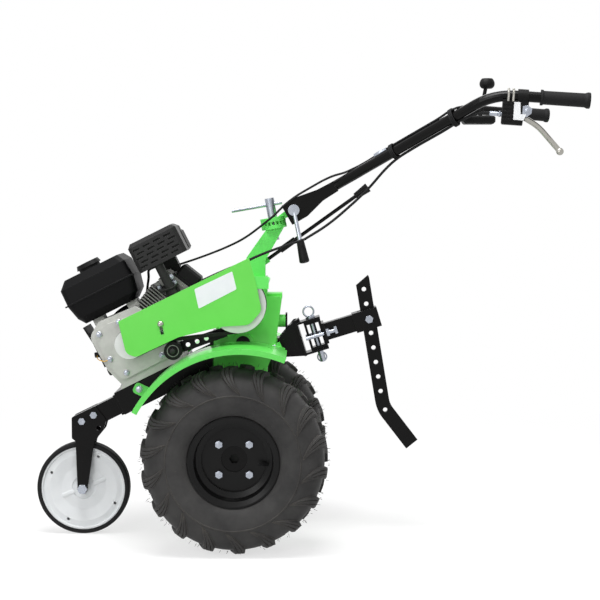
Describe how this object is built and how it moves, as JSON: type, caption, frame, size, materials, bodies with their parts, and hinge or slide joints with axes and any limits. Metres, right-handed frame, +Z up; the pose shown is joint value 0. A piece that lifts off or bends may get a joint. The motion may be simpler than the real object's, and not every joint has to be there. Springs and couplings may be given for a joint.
{
  "type": "walking tractor",
  "caption": "Two-wheeled walking tractor with a tilted petrol engine, belt drive, front support wheel, folding handlebar and a rear hitch holding a coulter bar.",
  "frame": {"origin": "on the floor, below the middle of the whole length, in the machine's middle plane", "axes": "+X to the rear, towards the grips; +Y to the machine's right; +Z up"},
  "size_m": [1.429, 0.6392, 1.226],
  "materials": {
    "green_paint": "gloss green paint on steel",
    "green_cast": "green paint on cast aluminium",
    "black_paint": "satin black paint on steel",
    "tank_black": "gloss black",
    "black_plastic": "matt black",
    "cast_metal": "bare cast aluminium",
    "zinc_steel": "zinc plated",
    "exhaust_steel": "plain steel",
    "rubber": "matt rubber",
    "tyre": "matt rubber",
    "white_paint": "white paint on steel"
  },
  "bodies": {
    "chassis": {"gearbox": "green_cast", "gearbox_plug": "black_plastic", "frame": "black_paint", "wheel_arm": "black_paint", "wheel_fork": "black_paint", "fork_bolts": "zinc_steel", "engine_block": "cast_metal", "engine_side_cover": "cast_metal", "engine_cylinder": "cast_metal", "valve_cover": "black_plastic", "fuel_tank": "tank_black", "tank_cap": "black_plastic", "muffler": "exhaust_steel", "muffler_shield": "black_paint", "air_filter": "black_plastic", "carburettor": "cast_metal", "blower_housing": "black_plastic", "recoil_starter": "black_plastic", "engine_pulley": "cast_metal", "gearbox_pulley": "cast_metal", "drive_belts": "rubber", "idler_pulley": "black_plastic", "idler_arm": "black_paint", "belt_cover": "green_paint", "fender_left": "green_paint", "fender_right": "green_paint", "column": "green_paint", "hitch_bracket": "black_paint", "hitch_pin": "zinc_steel", "gear_lever": "black_paint"},
    "drive_wheels": {"axle": "zinc_steel", "hubs": "zinc_steel", "rim_left": "black_paint", "rim_right": "black_paint", "tyre_left": "tyre", "tyre_right": "tyre"},
    "front_wheel": {"front_wheel_disc": "white_paint", "front_wheel_tyre": "rubber"},
    "swivel": {"swivel_head": "green_paint", "swivel_screw": "zinc_steel"},
    "handlebar": {"handlebar_head": "black_paint", "tilt_clamp": "zinc_steel", "handle_tube_left": "black_paint", "handle_tube_right": "black_paint", "cross_brace": "black_paint", "grips": "rubber", "lever_mount": "black_plastic", "clutch_lever": "cast_metal", "throttle_control": "black_plastic", "throttle_cable": "rubber", "clutch_cable": "rubber"},
    "drawbar": {"drawbar": "black_paint", "drawbar_bolts": "zinc_steel", "coulter": "black_paint"}
  },
  "joints": [
    {"name": "drive_wheels_turn", "type": "hinge", "parent": "chassis", "child": "drive_wheels", "pos_m": [-0.1705, 0, 0.2415], "axis": [0, 1, 0], "continuous": true},
    {"name": "front_wheel_turn", "type": "hinge", "parent": "chassis", "child": "front_wheel", "pos_m": [-0.5895, 0, 0.125], "axis": [0, 1, 0], "continuous": true},
    {"name": "handlebar_swivel", "type": "hinge", "parent": "chassis", "child": "swivel", "pos_m": [-0.0735, 0, 0.84], "axis": [-0.1736, 0, 0.9848], "range_deg": [-30, 30], "deforming": ["throttle_cable", "clutch_cable"]},
    {"name": "handlebar_tilt", "type": "hinge", "parent": "swivel", "child": "handlebar", "pos_m": [-0.019, 0, 0.876], "axis": [0, -1, 0], "range_deg": [0, 25], "deforming": ["throttle_cable", "clutch_cable"]},
    {"name": "drawbar_swing", "type": "hinge", "parent": "chassis", "child": "drawbar", "pos_m": [0.0405, 0, 0.536], "axis": [-0.2924, 0, 0.9563], "range_deg": [-8, 8]}
  ]
}
